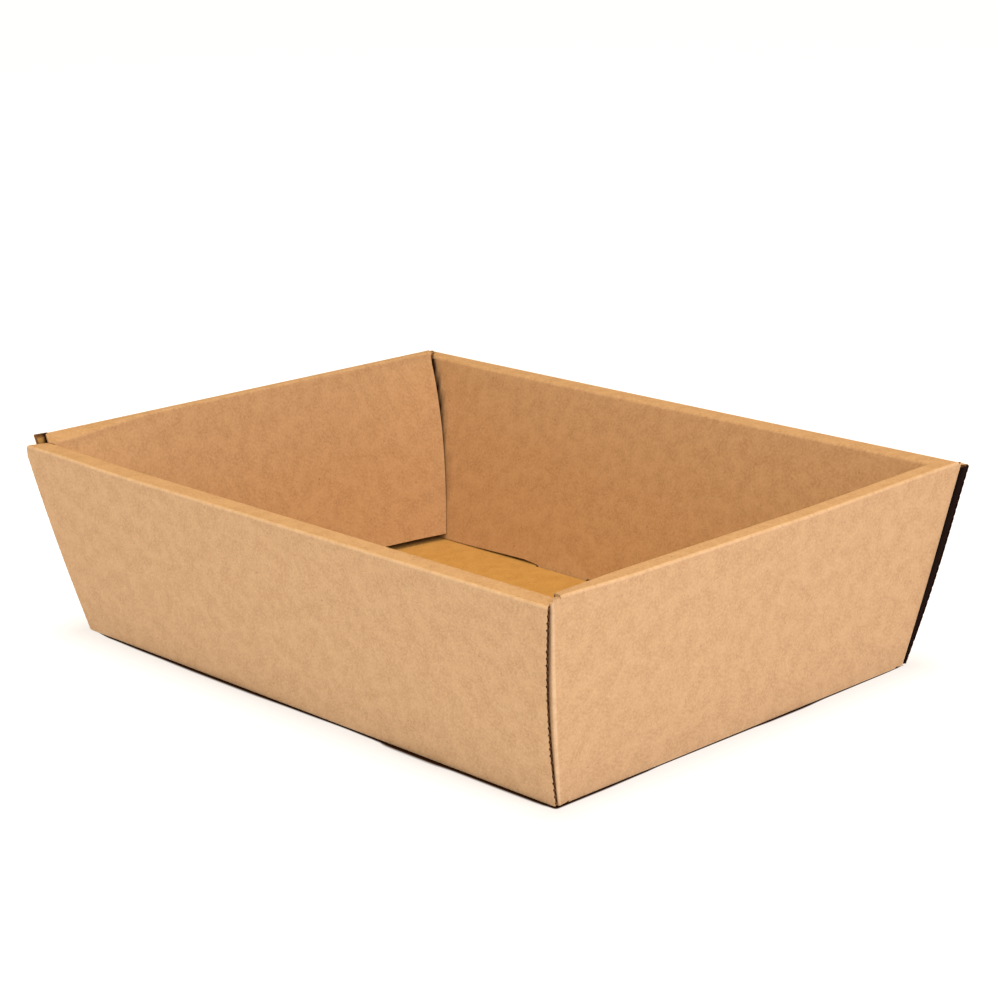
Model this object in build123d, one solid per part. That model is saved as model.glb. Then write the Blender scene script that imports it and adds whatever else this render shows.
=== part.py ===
from build123d import *
import math
import os

# Open tray folded from one die-cut sheet of fine-flute corrugated board.
# One base panel, four outer walls that lean outwards, a narrow flat strip along the top of
# each wall, four inner wall panels that hang from those strips, four corner flaps caught
# between the two layers of the long walls, and lock tabs in slots through the base.
# All lengths in millimetres. +Z is up, +X runs along the long side.
# The origin is the middle of the underside of the base, on the surface the tray stands on.

# ---------------------------------------------------------------- driving dimensions
T = 1.5               # board thickness
R_IN = 0.4            # inside radius of a crease
R_OUT = T + R_IN      # outside radius of a crease

BASE_X = 154.1        # half length of the base, to the outer crease line
BASE_Y = 109.8        # half width of the base, to the outer crease line
TOP_X = 170.0         # half length over the end walls at the rim
TOP_Y = 129.0         # half width over the long walls at the rim
H_LONG = 90.5         # rim height of the long walls
H_END = 91.8          # rim height of the end walls, which stand a little proud
RIM_LONG = 10.5       # width of the flat strip on the long walls
RIM_END = 8.8         # width of the flat strip on the end walls

# long walls: raw ends of the outer panel
LONG_END_BOTTOM = 153.7   # half length at the base
LONG_END_TOP = 170.6      # half length at the rim
CORNER_RELIEF_X = 146.5   # where the shallow relief at each end of the bottom crease starts
CORNER_RELIEF_Z = 2.6     # height of that relief at the raw end
LONG_MITRE_INNER = 163.3  # half length of the strip along its inner crease

# long walls: inner panels
LONG_FOOT_Y = 98.0        # where the inner panel's visible face meets the base
LONG_FOOT_GAP = 0.8       # gap between the inner panel's bottom edge and the base
LONG_INNER_FOOT_X = 146.5 # half length of the inner panel at its bottom edge
LONG_TAB_X0 = 31.0        # the two lock tabs of each inner panel run between these
LONG_TAB_X1 = 66.0

# end walls
FOLD_Y_BOTTOM = 108.1     # half width over the corner folds at the base
FOLD_Y_TOP = 126.1        # half width over the corner folds at the rim
END_STRIP_OUTER = 121.0   # half length of the end strip along its outer crease
END_STRIP_INNER = 115.3   # half length of the end strip along its inner crease
END_FOOT_X = 140.0        # where the end inner panel's visible face would meet the base
END_FOOT_GAP = 3.0        # the end inner panel's bottom edge floats this far above the base
END_INNER_TOP_Y = 115.3   # half width of the end inner panel at the strip
END_INNER_FOOT_Y = 98.2   # half width of the end inner panel at its bottom edge
END_TAB_Y = 25.0          # half width of the lock tab of each end inner panel
BOW = 8.5                 # how far the free bottom corners of that panel spring inwards
BOW_FROM = 25.0           # the bow starts beside the lock tab

# corner flaps
FLAP_END_X = 112.0        # the flaps end this far from the middle
FLAP_TOP = 88.3           # top edge of the flap under the strip of the long wall
FLAP_BOTTOM = 3.6         # bottom edge of the flap
FOLD_TOP = H_END - 0.9    # raw top edge of the end wall beside the corner fold

TAB_END_Z = 0.25          # the lock tabs stop just above the underside
CLEAR = 0.35              # clearance round a tab in its slot

SPLIT = 3.0               # the creased zones reach this far from base and rim
BASE_LAP = 8.0            # how far each wall's section reaches over the base panel

# ---------------------------------------------------------------- helpers


def lean(x0, z0, x1, z1):
    return (x1 - x0) / (z1 - z0)


def offset_inside(points, dist):
    """Polyline parallel to points, dist to its left, end points moved square to the end runs."""
    out = []
    n = len(points)
    for i in range(n):
        runs = []
        if i > 0:
            runs.append((points[i][0] - points[i - 1][0], points[i][1] - points[i - 1][1]))
        if i < n - 1:
            runs.append((points[i + 1][0] - points[i][0], points[i + 1][1] - points[i][1]))
        normals = []
        for dx, dy in runs:
            length = math.hypot(dx, dy)
            normals.append((-dy / length, dx / length))
        if len(normals) == 1:
            nx, ny = normals[0]
            out.append((points[i][0] + nx * dist, points[i][1] + ny * dist))
        else:
            (ax, ay), (bx, by) = normals
            k = 1 + ax * bx + ay * by
            out.append((points[i][0] + (ax + bx) / k * dist, points[i][1] + (ay + by) / k * dist))
    return out


def wall_section(base_half, top_half, height, rim, foot_x, foot_z):
    """Closed section of one wall, from the base over the outer crease, up, across the strip
    and down the inner panel. First coordinate outwards, second up."""
    outer = [
        (base_half - BASE_LAP, 0.0),
        (base_half, 0.0),
        (top_half, height),
        (top_half - rim, height),
        (foot_x, foot_z),
    ]
    inner = offset_inside(outer, T)
    a = FilletPolyline(*[(p[0], p[1]) for p in outer], radius=R_OUT)
    b = FilletPolyline(*[(p[0], p[1]) for p in inner], radius=R_IN)
    ends = [Line(a @ 0, b @ 0), Line(a @ 1, b @ 1)]
    return make_face([a, b] + ends)


def slab(z0, z1):
    """A very wide horizontal slab between two heights."""
    return Pos(0, 0, (z0 + z1) / 2) * Box(600, 600, z1 - z0)


def prism_xz(points, y0, y1):
    """Outline in X and Z, extruded from y0 to y1."""
    face = make_face(Polyline(*[(x, 0.0, z) for x, z in points], close=True))
    return Pos(0, y0, 0) * extrude(face, amount=y1 - y0, dir=(0, 1, 0))


def prism_yz(points, x0, x1):
    """Outline in Y and Z, extruded from x0 to x1."""
    face = make_face(Polyline(*[(0.0, y, z) for y, z in points], close=True))
    return Pos(x0, 0, 0) * extrude(face, amount=x1 - x0, dir=(1, 0, 0))


def prism_xy(points, z0, z1):
    """Outline in X and Y, extruded from z0 to z1."""
    face = make_face(Polyline(*[(x, y, 0.0) for x, y in points], close=True))
    return Pos(0, 0, z0) * extrude(face, amount=z1 - z0, dir=(0, 0, 1))


def both_ways(points):
    """Outline given for the positive side, completed with its mirror image."""
    return list(points) + [(-a, b) for a, b in reversed(points)]


# ---------------------------------------------------------------- base panel
lean_long = lean(BASE_Y, 0, TOP_Y, H_LONG)
lean_end = lean(BASE_X, 0, TOP_X, H_END)
turn_long = math.pi / 2 - math.atan(lean_long)
turn_end = math.pi / 2 - math.atan(lean_end)
flat_y = BASE_Y - R_OUT * math.tan(turn_long / 2)
flat_x = BASE_X - R_OUT * math.tan(turn_end / 2)

base = Pos(0, 0, T / 2) * Box(2 * flat_x, 2 * flat_y, T)

# ---------------------------------------------------------------- long walls
long_foot_z = T + LONG_FOOT_GAP
lean_long_inner = lean(LONG_FOOT_Y, T, TOP_Y - RIM_LONG, H_LONG)


def long_inner_y(z):
    """Visible face of a long wall's inner panel at height z."""
    return LONG_FOOT_Y + (z - T) * lean_long_inner


section = wall_section(
    BASE_Y, TOP_Y, H_LONG, RIM_LONG, long_inner_y(TAB_END_Z), TAB_END_Z
)
# the section is drawn in X and Y; it is stood up into Y and Z and run along X
section = Plane(origin=(0, 0, 0), x_dir=(0, 1, 0), z_dir=(1, 0, 0)) * section
LONG_RUN = 2 * (LONG_END_TOP + 2)
full = Pos(-LONG_RUN / 2, 0, 0) * extrude(section, amount=LONG_RUN, dir=(1, 0, 0))

# the hollow between the layers separates the outer panel from the inner one
mid_y_bottom = (BASE_Y + long_inner_y(0)) / 2
mid_y_top = TOP_Y - RIM_LONG / 2
outer_side = prism_yz(
    [(mid_y_bottom - 3.6, -1), (140, -1), (140, H_LONG - SPLIT), (mid_y_top, H_LONG - SPLIT), (mid_y_bottom, T + 3.2), (mid_y_bottom - 3.6, T + 0.05)],
    -300, 300,
)
long_outer = full & outer_side
outline = both_ways([
    (CORNER_RELIEF_X, 0.0),
    (LONG_END_BOTTOM + CORNER_RELIEF_Z * (LONG_END_TOP - LONG_END_BOTTOM) / H_LONG, CORNER_RELIEF_Z),
    (LONG_END_TOP, H_LONG),
])
long_outer = long_outer & prism_xz(outline, 80, 150)

strip_outline = both_ways([
    (LONG_MITRE_INNER, 112.0),
    (LONG_MITRE_INNER, TOP_Y - RIM_LONG),
    (LONG_END_TOP, TOP_Y),
    (LONG_END_TOP, 135.0),
])
long_strip = full & slab(H_LONG - SPLIT, H_LONG + 1) & prism_xy(strip_outline, 60, 120)

inner_side = prism_yz(
    [(90, -1), (LONG_FOOT_Y + 3.0, -1), (long_inner_y(H_LONG - SPLIT) + 2.6, H_LONG - SPLIT), (90, H_LONG - SPLIT)],
    -300, 300,
)
panel_outline = both_ways([
    (LONG_TAB_X0, long_foot_z),
    (LONG_TAB_X0 + 0.8, TAB_END_Z),
    (LONG_TAB_X1 - 2.5, TAB_END_Z),
    (LONG_TAB_X1, long_foot_z),
    (LONG_INNER_FOOT_X, long_foot_z),
    (LONG_MITRE_INNER, H_LONG),
])
long_inner = full & inner_side & prism_xz(panel_outline, 80, 150)

# ---------------------------------------------------------------- end walls
lean_end_inner = lean(END_FOOT_X, T, TOP_X - RIM_END, H_END)


def end_inner_x(z):
    """Visible face of an end wall's inner panel at height z, beside its lock tab."""
    return END_FOOT_X + (z - T) * lean_end_inner


END_RUN = 2 * 135.0
section_e = wall_section(BASE_X, TOP_X, H_END, RIM_END, end_inner_x(40.0), 40.0)
section_e = Plane(origin=(0, 0, 0), x_dir=(1, 0, 0), z_dir=(0, -1, 0)) * section_e
full_e = Pos(0, -END_RUN / 2, 0) * extrude(section_e, amount=END_RUN, dir=(0, 1, 0))

# crease from the base into the end wall
z_low = 3.2
low_outline = both_ways([
    (FOLD_Y_BOTTOM - 5.5, -1.0),
    (FOLD_Y_BOTTOM - 5.5, 0.0),
    (FOLD_Y_BOTTOM - 0.6, 2.4),
    (FOLD_Y_BOTTOM - 0.6, z_low),
])
end_low = full_e & prism_yz(low_outline, 100, 200)

# crease from the end wall into its strip, and on into the inner panel
z_high = H_END - SPLIT
end_strip_outline = [
    (END_STRIP_INNER, 150.0), (END_STRIP_INNER, TOP_X - RIM_END),
    (END_STRIP_OUTER, TOP_X), (END_STRIP_OUTER, 180.0),
]
end_strip_outline = [(x, y) for y, x in end_strip_outline]
end_strip_outline += [(x, -y) for x, y in reversed(end_strip_outline)]
end_strip = full_e & slab(z_high, H_END + 1) & prism_xy(end_strip_outline, 60, 120)

# outer plate of the end wall with its two corner folds and flaps: a thin tapered frame
# whose long sides are cut away between the flaps


def frame_x(z):
    return BASE_X + z * lean_end


def frame_y(z):
    return FOLD_Y_BOTTOM + z * (FOLD_Y_TOP - FOLD_Y_BOTTOM) / H_END


lean_fold = (FOLD_Y_TOP - FOLD_Y_BOTTOM) / H_END
in_x = T / math.cos(math.atan(lean_end))
in_y = T / math.cos(math.atan(lean_fold))


def tapered(z0, z1, dx, dy, radius):
    low = Pos(0, 0, z0) * Rectangle(2 * (frame_x(z0) - dx), 2 * (frame_y(z0) - dy))
    high = Pos(0, 0, z1) * Rectangle(2 * (frame_x(z1) - dx), 2 * (frame_y(z1) - dy))
    body = loft([low, high], ruled=True)
    corner_edges = [e for e in body.edges() if abs((e @ 0).Z - (e @ 1).Z) > 1.0]
    return fillet(corner_edges, radius)


ring = tapered(z_low, FOLD_TOP, 0.0, 0.0, R_OUT) - tapered(z_low - 1.0, FOLD_TOP + 1.0, in_x, in_y, R_IN)
ring -= Box(2 * FLAP_END_X, 400, 400)
# flaps: lower than the end wall's raw edge, with their far corners taken off
for sx in (1, -1):
    above = prism_xz(
        [(sx * 167.2, FLAP_TOP), (sx * 167.2, 120), (sx * 100, 120), (sx * 100, FLAP_TOP - 9), (sx * 124, FLAP_TOP - 1.5)],
        -200, 200,
    )
    below = prism_xz(
        [(sx * 151.0, FLAP_BOTTOM), (sx * 151.0, -10), (sx * 100, -10), (sx * 100, FLAP_BOTTOM + 16), (sx * 124, FLAP_BOTTOM + 2)],
        -200, 200,
    )
    ring = ring - above - below
# between the corner pieces the plate carries the strip up to the crease; at its very top only
# the part beside each corner fold is a raw edge
keep_top = slab(z_low, z_high)
ring_main = ring & keep_top
ring_ears = (ring & slab(z_high, FOLD_TOP)) - (Box(400, 2 * (END_STRIP_OUTER - 0.4), 400))

# inner panel of an end wall: flat beside its lock tab, its free bottom corners sprung inwards
w_in = T / math.cos(math.atan(lean_end_inner))
end_foot_z = T + END_FOOT_GAP


def bow(y):
    a = abs(y)
    if a <= BOW_FROM:
        return 0.0
    return BOW * ((a - BOW_FROM) / (END_INNER_FOOT_Y - BOW_FROM)) ** 2


FOOT_RUN = END_INNER_FOOT_Y + 6.0
TOP_SCALE = (END_INNER_TOP_Y + 4.0) / (END_INNER_FOOT_Y + 4.0)


def bowed_edge(dx, z, sign):
    """One free end of the panel's bottom edge: straight beside the tab, then a parabola."""
    x0 = end_inner_x(z) + dx
    half = (FOOT_RUN - BOW_FROM) / 2
    return Bezier(
        (x0, sign * BOW_FROM, z),
        (x0, sign * (BOW_FROM + half), z),
        (x0 - bow(FOOT_RUN), sign * FOOT_RUN, z),
    )


def end_leaf_face(z, bowed):
    """Section of the end wall's inner panel at height z, with eight edges."""
    if bowed:
        a0, a1 = bowed_edge(0.0, z, 1), bowed_edge(0.0, z, -1)
        b0, b1 = bowed_edge(w_in, z, 1), bowed_edge(w_in, z, -1)
    else:
        x0 = end_inner_x(z)
        near, far = BOW_FROM * TOP_SCALE, FOOT_RUN * TOP_SCALE
        a0 = Line((x0, near, z), (x0, far, z))
        a1 = Line((x0, -near, z), (x0, -far, z))
        b0 = Line((x0 + w_in, near, z), (x0 + w_in, far, z))
        b1 = Line((x0 + w_in, -near, z), (x0 + w_in, -far, z))
    return make_face([
        a0, Line(a0 @ 1, b0 @ 1), b0, Line(b0 @ 0, b1 @ 0),
        b1, Line(b1 @ 1, a1 @ 1), a1, Line(a1 @ 0, a0 @ 0),
    ])


end_inner = loft([end_leaf_face(end_foot_z, True), end_leaf_face(z_high, False)], ruled=True)
side_outline = both_ways([
    (END_INNER_FOOT_Y, end_foot_z - 1),
    (END_INNER_TOP_Y, z_high),
    (END_INNER_TOP_Y, z_high + 1),
])
end_inner = end_inner & prism_yz(side_outline, 100, 200)

tab_low = end_inner_x(TAB_END_Z)
tab_high = end_inner_x(end_foot_z + 2.0)
end_tab = prism_xz(
    [(tab_low, TAB_END_Z), (tab_high, end_foot_z + 2.0), (tab_high + w_in, end_foot_z + 2.0), (tab_low + w_in, TAB_END_Z)],
    -END_TAB_Y, END_TAB_Y,
)
tab_shape = both_ways([
    (END_TAB_Y - 2.5, TAB_END_Z),
    (END_TAB_Y, end_foot_z - 0.5),
    (END_TAB_Y, end_foot_z + 2.0),
])
end_tab = end_tab & prism_yz(tab_shape, 100, 200)

# ---------------------------------------------------------------- slots through the base
slots = []
for sy in (1, -1):
    for sx in (1, -1):
        y0 = long_inner_y(0) - CLEAR
        y1 = long_inner_y(T) + T / math.cos(math.atan(lean_long_inner)) + CLEAR
        slots.append(
            Pos(sx * (LONG_TAB_X0 + LONG_TAB_X1) / 2, sy * (y0 + y1) / 2, T / 2)
            * Box(LONG_TAB_X1 - LONG_TAB_X0 + 2 * CLEAR, y1 - y0, 3 * T)
        )
for sx in (1, -1):
    x0 = end_inner_x(0) - CLEAR
    x1 = end_inner_x(T) + w_in + CLEAR
    slots.append(Pos(sx * (x0 + x1) / 2, 0, T / 2) * Box(x1 - x0, 2 * (END_TAB_Y + CLEAR), 3 * T))

# ---------------------------------------------------------------- put together
outer_shape = base
long_side = [long_outer, long_strip]
end_side = [end_low, end_strip]
for piece in long_side:
    outer_shape += piece
    outer_shape += mirror(piece, about=Plane.XZ)
for piece in end_side:
    outer_shape += piece
    outer_shape += mirror(piece, about=Plane.YZ)
outer_shape += ring_main
outer_shape += ring_ears
for cut in slots:
    outer_shape -= cut

tray = outer_shape
tray += long_inner
tray += mirror(long_inner, about=Plane.XZ)
end_leaf = end_inner + end_tab
tray += end_leaf
tray += mirror(end_leaf, about=Plane.YZ)

solids = tray.solids()
solids = sorted(solids, key=lambda s: -s.volume)
print("solids", len(solids), [round(s.volume, 1) for s in solids])
tray = solids[0]
print("valid", tray.is_valid)
bb = tray.bounding_box()
print("box", bb.min, bb.max)

os.makedirs("parts", exist_ok=True)
tray.label = "folded_tray"
export_step(tray, "parts/folded_tray.step")
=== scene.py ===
import bpy
import math
import random
from mathutils import Matrix, Vector


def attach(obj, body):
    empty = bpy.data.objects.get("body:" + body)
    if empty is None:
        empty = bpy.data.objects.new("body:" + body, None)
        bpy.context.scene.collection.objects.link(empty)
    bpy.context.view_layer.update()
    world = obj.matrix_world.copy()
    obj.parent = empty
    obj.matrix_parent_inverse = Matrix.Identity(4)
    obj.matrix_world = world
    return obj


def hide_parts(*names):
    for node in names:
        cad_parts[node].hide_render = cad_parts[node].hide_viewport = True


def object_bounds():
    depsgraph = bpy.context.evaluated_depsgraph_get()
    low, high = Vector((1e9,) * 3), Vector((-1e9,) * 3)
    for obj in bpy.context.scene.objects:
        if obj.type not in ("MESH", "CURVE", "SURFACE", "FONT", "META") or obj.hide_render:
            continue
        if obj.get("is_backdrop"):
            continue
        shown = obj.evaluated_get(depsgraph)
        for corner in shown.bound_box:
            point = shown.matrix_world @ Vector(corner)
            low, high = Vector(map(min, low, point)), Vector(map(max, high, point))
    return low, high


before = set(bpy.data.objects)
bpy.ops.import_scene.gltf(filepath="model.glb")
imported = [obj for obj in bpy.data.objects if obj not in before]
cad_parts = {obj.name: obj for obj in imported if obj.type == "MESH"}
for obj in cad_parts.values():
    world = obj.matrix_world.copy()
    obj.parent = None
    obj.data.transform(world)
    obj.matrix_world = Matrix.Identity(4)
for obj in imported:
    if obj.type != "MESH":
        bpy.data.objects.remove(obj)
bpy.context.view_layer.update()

# =====================================================================================
# The tray's sheet of board, folded from its flat blank.
# Lengths below are in millimetres; the mesh is scaled to metres when it is made.
# Every point of the sheet has a place on the flat blank, (u, v). The flutes of the board run
# along u, which is the long direction of the tray's base.
# =====================================================================================
T = 1.5
R_BASE = 1.3          # outer radius of the creases round the base
R_RIM = 1.05          # of the two creases along the rim
R_SOFT = 1.7          # of the crease along the inner side of the rim, which isn't crushed
R_FOLD = 1.25         # of the folds at the corners
NIP = 0.10            # what is left of the inner radius where the board is crushed in a crease
LINER = 0.25

BASE_X, BASE_Y = 154.1, 109.8
TOP_X, TOP_Y = 170.0, 129.0
H_LONG, H_END = 90.5, 91.8
RIM_LONG, RIM_END = 10.5, 8.8
LONG_END_BOTTOM, LONG_END_TOP = 153.7, 170.6
RELIEF_X, RELIEF_Z = 151.6, 0.7
LONG_MITRE_INNER = 163.3
LONG_FOOT_Y, LONG_FOOT_GAP, LONG_INNER_FOOT_X = 98.0, 0.8, 146.5
LONG_TAB_X0, LONG_TAB_X1 = 31.0, 66.0
FOLD_Y_BOTTOM, FOLD_Y_TOP = 108.1, 126.1
END_CREASE_Y = 102.6
# where the end walls' rim strips are cut, at the outer and the inner crease, corner by corner
STRIP_CUT = {(1, -1): (121.2, 116.2), (-1, -1): (116.6, 120.6), (1, 1): (123.7, 116.6), (-1, 1): (123.6, 117.3)}
# how far the ends of the long walls' outer panels stand out past their straight line: foot, middle, rim
END_OUT = {(1, -1): (0.2, -2.5, 0.0), (-1, -1): (0.0, 1.7, -1.3), (1, 1): (0.5, 1.3, 0.9), (-1, 1): (0.5, 0.6, 0.5)}
END_FOOT_X, END_FOOT_GAP = 140.0, 3.0
END_INNER_FOOT_Y = 98.2
END_TAB_Y = 25.0
BOW, BOW_FROM = 8.5, 25.0
FLAP_END_X, FLAP_TOP, FLAP_BOTTOM = 112.0, 88.3, 3.6
FOLD_TOP = H_END - 0.9
FOLD_FOOT = 0.15
TAB_END_Z = 0.25
CLEAR = 0.35

FLUTE = 3.2           # distance from flute to flute
FLUTE_STEPS = 10      # points along one flute on a raw edge
CHAMFER = 0.10        # rounding of a cut edge

lean_long = (TOP_Y - BASE_Y) / H_LONG
lean_end = (TOP_X - BASE_X) / H_END
lean_long_in = (TOP_Y - RIM_LONG - LONG_FOOT_Y) / (H_LONG - T)
lean_end_in = (TOP_X - RIM_END - END_FOOT_X) / (H_END - T)
lean_fold = (FOLD_Y_TOP - FOLD_Y_BOTTOM) / H_END
flat_y = BASE_Y - R_BASE * math.tan((math.pi / 2 - math.atan(lean_long)) / 2)
flat_x = BASE_X - R_BASE * math.tan((math.pi / 2 - math.atan(lean_end)) / 2)
long_foot_z = T + LONG_FOOT_GAP
end_foot_z = T + END_FOOT_GAP


def smooth(t):
    t = min(1.0, max(0.0, t))
    return t * t * (3 - 2 * t)


def spread(length, crease_start, crease_end, step):
    """Distances along a flat stretch, closer together beside a crease."""
    if length < 1e-6:
        return [0.0]
    near = [0.45, 1.1, 2.2, 4.2]
    lead = [d for d in near if crease_start and d < length * 0.42]
    tail = [length - d for d in near if crease_end and d < length * 0.42]
    a = lead[-1] if lead else 0.0
    b = min(tail) if tail else length
    n = max(1, int(math.ceil((b - a) / step)))
    mid = [a + (b - a) * k / n for k in range(n + 1)]
    out = sorted(set([0.0, length] + lead + tail + mid))
    return [d for i, d in enumerate(out) if i == 0 or d - out[i - 1] > 1e-4]


def section(points, names, bends, radii, step):
    """Stations along the middle of the board, from the edge of the base up the wall, over the
    rim and down the inner panel. Each is a dictionary: a is outwards, z up, h half the board's
    thickness there, which is less in a crease, where the board is crushed on its inner side."""
    n = len(points)
    dirs, lens = [], []
    for i in range(n - 1):
        da, dz = points[i + 1][0] - points[i][0], points[i + 1][1] - points[i][1]
        length = math.hypot(da, dz)
        dirs.append((da / length, dz / length))
        lens.append(length)
    turn, trim = [0.0] * n, [0.0] * n
    for i in range(1, n - 1):
        (ax, ay), (bx, by) = dirs[i - 1], dirs[i]
        turn[i] = math.atan2(ax * by - ay * bx, ax * bx + ay * by)
        trim[i] = radii[i - 1] * math.tan(turn[i] / 2)
    stations, creases = [], []
    s = points[0][0]
    for i in range(n - 1):
        (da, dz) = dirs[i]
        na, nz = dz, -da
        length = lens[i] - trim[i] - trim[i + 1]
        sa, sz = points[i][0] + da * trim[i], points[i][1] + dz * trim[i]
        for t in spread(max(0.0, length), i > 0, i < n - 2, step):
            h = T
            if i > 0:
                h = min(h, (trim[i] + t) / math.tan(turn[i] / 2) - NIP)
            if i < n - 2:
                h = min(h, (trim[i + 1] + length - t) / math.tan(turn[i + 1] / 2) - NIP)
            stations.append({
                "a": sa + da * t - na * h / 2, "z": sz + dz * t - nz * h / 2,
                "n": (na, nz), "d": (da, dz), "s": s + t, "seg": names[i],
                "f": t / length if length > 1e-6 else 0.0, "h": h / 2,
            })
        s += max(0.0, length)
        if i < n - 2:
            r = radii[i]
            h = min(T, r - NIP)
            ca, cz = sa + da * length - na * r, sz + dz * length - nz * r
            for k in range(1, bends[i]):
                ang = turn[i + 1] * k / bends[i]
                c, w = math.cos(ang), math.sin(ang)
                n2 = (na * c - nz * w, na * w + nz * c)
                d2 = (da * c - dz * w, da * w + dz * c)
                stations.append({
                    "a": ca + n2[0] * (r - h / 2), "z": cz + n2[1] * (r - h / 2),
                    "n": n2, "d": d2, "s": s + r * 0.6 * ang, "seg": "bend%d" % i,
                    "f": k / bends[i], "h": h / 2,
                })
            creases.append(s + r * 0.6 * turn[i + 1] / 2)
            s += r * 0.6 * turn[i + 1]
    for st in stations:
        st["cd"] = min(abs(st["s"] - c) for c in creases)
        # the pale line on a crease is partly the stretched liner and partly a painted highlight; the creases along the
        # inside of the rim get none
        st["pd"] = min(abs(st["s"] - creases[0]), abs(st["s"] - creases[1]), abs(st["s"] - creases[2]) + 0.75)
        st["ao"] = st["a"] + st["n"][0] * st["h"]
        st["zo"] = st["z"] + st["n"][1] * st["h"]
    return stations


def long_inner_y(z):
    return LONG_FOOT_Y + (z - T) * lean_long_in


def end_inner_x(z):
    return END_FOOT_X + (z - T) * lean_end_in


LONG = section(
    [(flat_y, 0.0), (BASE_Y, 0.0), (TOP_Y, H_LONG), (TOP_Y - RIM_LONG, H_LONG), (long_inner_y(long_foot_z), long_foot_z)],
    ["base", "wall", "strip", "inner"], [6, 8, 7], [R_BASE, R_RIM, R_SOFT], 10.0)
END = section(
    [(flat_x, 0.0), (BASE_X, 0.0), (TOP_X, H_END), (TOP_X - RIM_END, H_END), (end_inner_x(end_foot_z), end_foot_z)],
    ["base", "wall", "strip", "inner"], [6, 8, 7], [R_BASE, R_RIM, R_SOFT], 8.0)


def both(values):
    return sorted(set([round(v, 4) for v in values] + [round(-v, 4) for v in values]))


slot_x0 = LONG_TAB_X0 - CLEAR
slot_x1 = LONG_TAB_X1 + CLEAR
slot_ya = long_inner_y(0) - CLEAR
slot_yb = long_inner_y(T) + T / math.cos(math.atan(lean_long_in)) + CLEAR
end_slot_y = END_TAB_Y + CLEAR
end_slot_xa = end_inner_x(0) - CLEAR
end_slot_xb = end_inner_x(T) + T / math.cos(math.atan(lean_end_in)) + CLEAR

XS = both([0.0, 10.5, 20.5, slot_x0, 39.5, 48.5, 57.5, slot_x1, 75.0, 84.0, 93.0, 102.0, 110.0,
           118.0, 126.0, 133.0, end_slot_xa, end_slot_xb, 144.0, 145.2, 146.3, 147.4, 148.5, 149.6, 150.6, RELIEF_X])
YS = both([0.0, 8.5, 17.0, end_slot_y, 34.0, 43.0, 52.0, 61.0, 70.0, 78.0, 85.0, 91.5, slot_ya, slot_yb, END_CREASE_Y])
GX = both(list(XS) + [flat_x])
GY = both(list(YS) + [flat_y])


def half_long(st, sx, sy):
    foot, middle, rim = END_OUT[(sx, sy)]
    up = min(1.0, max(0.0, st["zo"] / H_LONG))
    # the corner of the front rim is blunted at the left
    blunt = 2.0 if sx < 0 and sy < 0 else 0.0
    top_x = LONG_END_TOP + rim - blunt
    wall = LONG_END_BOTTOM + st["zo"] * (LONG_END_TOP - LONG_END_BOTTOM) / H_LONG
    wall += foot + (rim - foot) * up + middle * math.sin(math.pi * up) - blunt * smooth((up - 0.93) / 0.07)
    in_x = LONG_MITRE_INNER + (1.3 if sx > 0 and sy < 0 else 0.0)
    mitre = in_x + (st["ao"] - (TOP_Y - RIM_LONG)) * (top_x - in_x) / RIM_LONG
    inner = LONG_INNER_FOOT_X + (st["zo"] - long_foot_z) * (in_x - LONG_INNER_FOOT_X) / (H_LONG - long_foot_z)
    if st["seg"] in ("base", "bend0", "wall"):
        return min(wall, RELIEF_X + max(0.0, st["zo"]) / RELIEF_Z * (LONG_END_BOTTOM + 0.5 - RELIEF_X))
    if st["seg"] == "bend1":
        return min(wall, mitre)
    if st["seg"] == "strip":
        return mitre
    if st["seg"] == "bend2":
        return min(mitre, inner)
    return inner


def half_end(st, sx, sy):
    cut_out, cut_in = STRIP_CUT[(sx, sy)]
    up = st["zo"] / H_END
    wall = END_CREASE_Y + up * (cut_out - END_CREASE_Y)
    mitre = cut_in + (st["ao"] - (TOP_X - RIM_END)) * (cut_out - cut_in) / RIM_END
    top = min(cut_in, 117.9)
    inner = END_INNER_FOOT_Y + (st["zo"] - end_foot_z) * (top - END_INNER_FOOT_Y) / (H_END - end_foot_z)
    if st["seg"] in ("base", "bend0", "wall"):
        return wall
    if st["seg"] == "bend1":
        return wall + (mitre - wall) * st["f"]
    if st["seg"] == "strip":
        return mitre
    if st["seg"] == "bend2":
        return mitre + (inner - mitre) * st["f"]
    return inner


def stretch(q, half, ref, fixed):
    a = abs(q)
    if a <= fixed:
        return q
    return math.copysign(fixed + (a - fixed) * (half - fixed) / (ref - fixed), q)


# ---------------------------------------------------------------- points and cells
mid, nrm, flu, flat, cd, tag, half, paint = [], [], [], [], [], [], [], []
index = {}
cells = []


def point(key, p, n, u, uv, c, t, h=T / 2, pd=None):
    if key in index:
        return index[key]
    index[key] = len(mid)
    mid.append(Vector(p))
    nrm.append(Vector(n).normalized())
    flu.append(Vector(u).normalized())
    flat.append((uv[0], uv[1]))
    cd.append(min(c, 20.0))
    tag.append(t)
    half.append(h)
    paint.append(min(c if pd is None else pd, 20.0))
    return index[key]


def cell(ids, t):
    ids = [v for i, v in enumerate(ids) if v != ids[i - 1]]
    if len(ids) < 3:
        return
    area = Vector((0, 0, 0))
    mean = Vector((0, 0, 0))
    for i, v in enumerate(ids):
        area += mid[v].cross(mid[ids[(i + 1) % len(ids)]])
        mean += nrm[v]
    if area.dot(mean) < 0:
        ids = ids[::-1]
    cells.append((ids, t))


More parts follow.
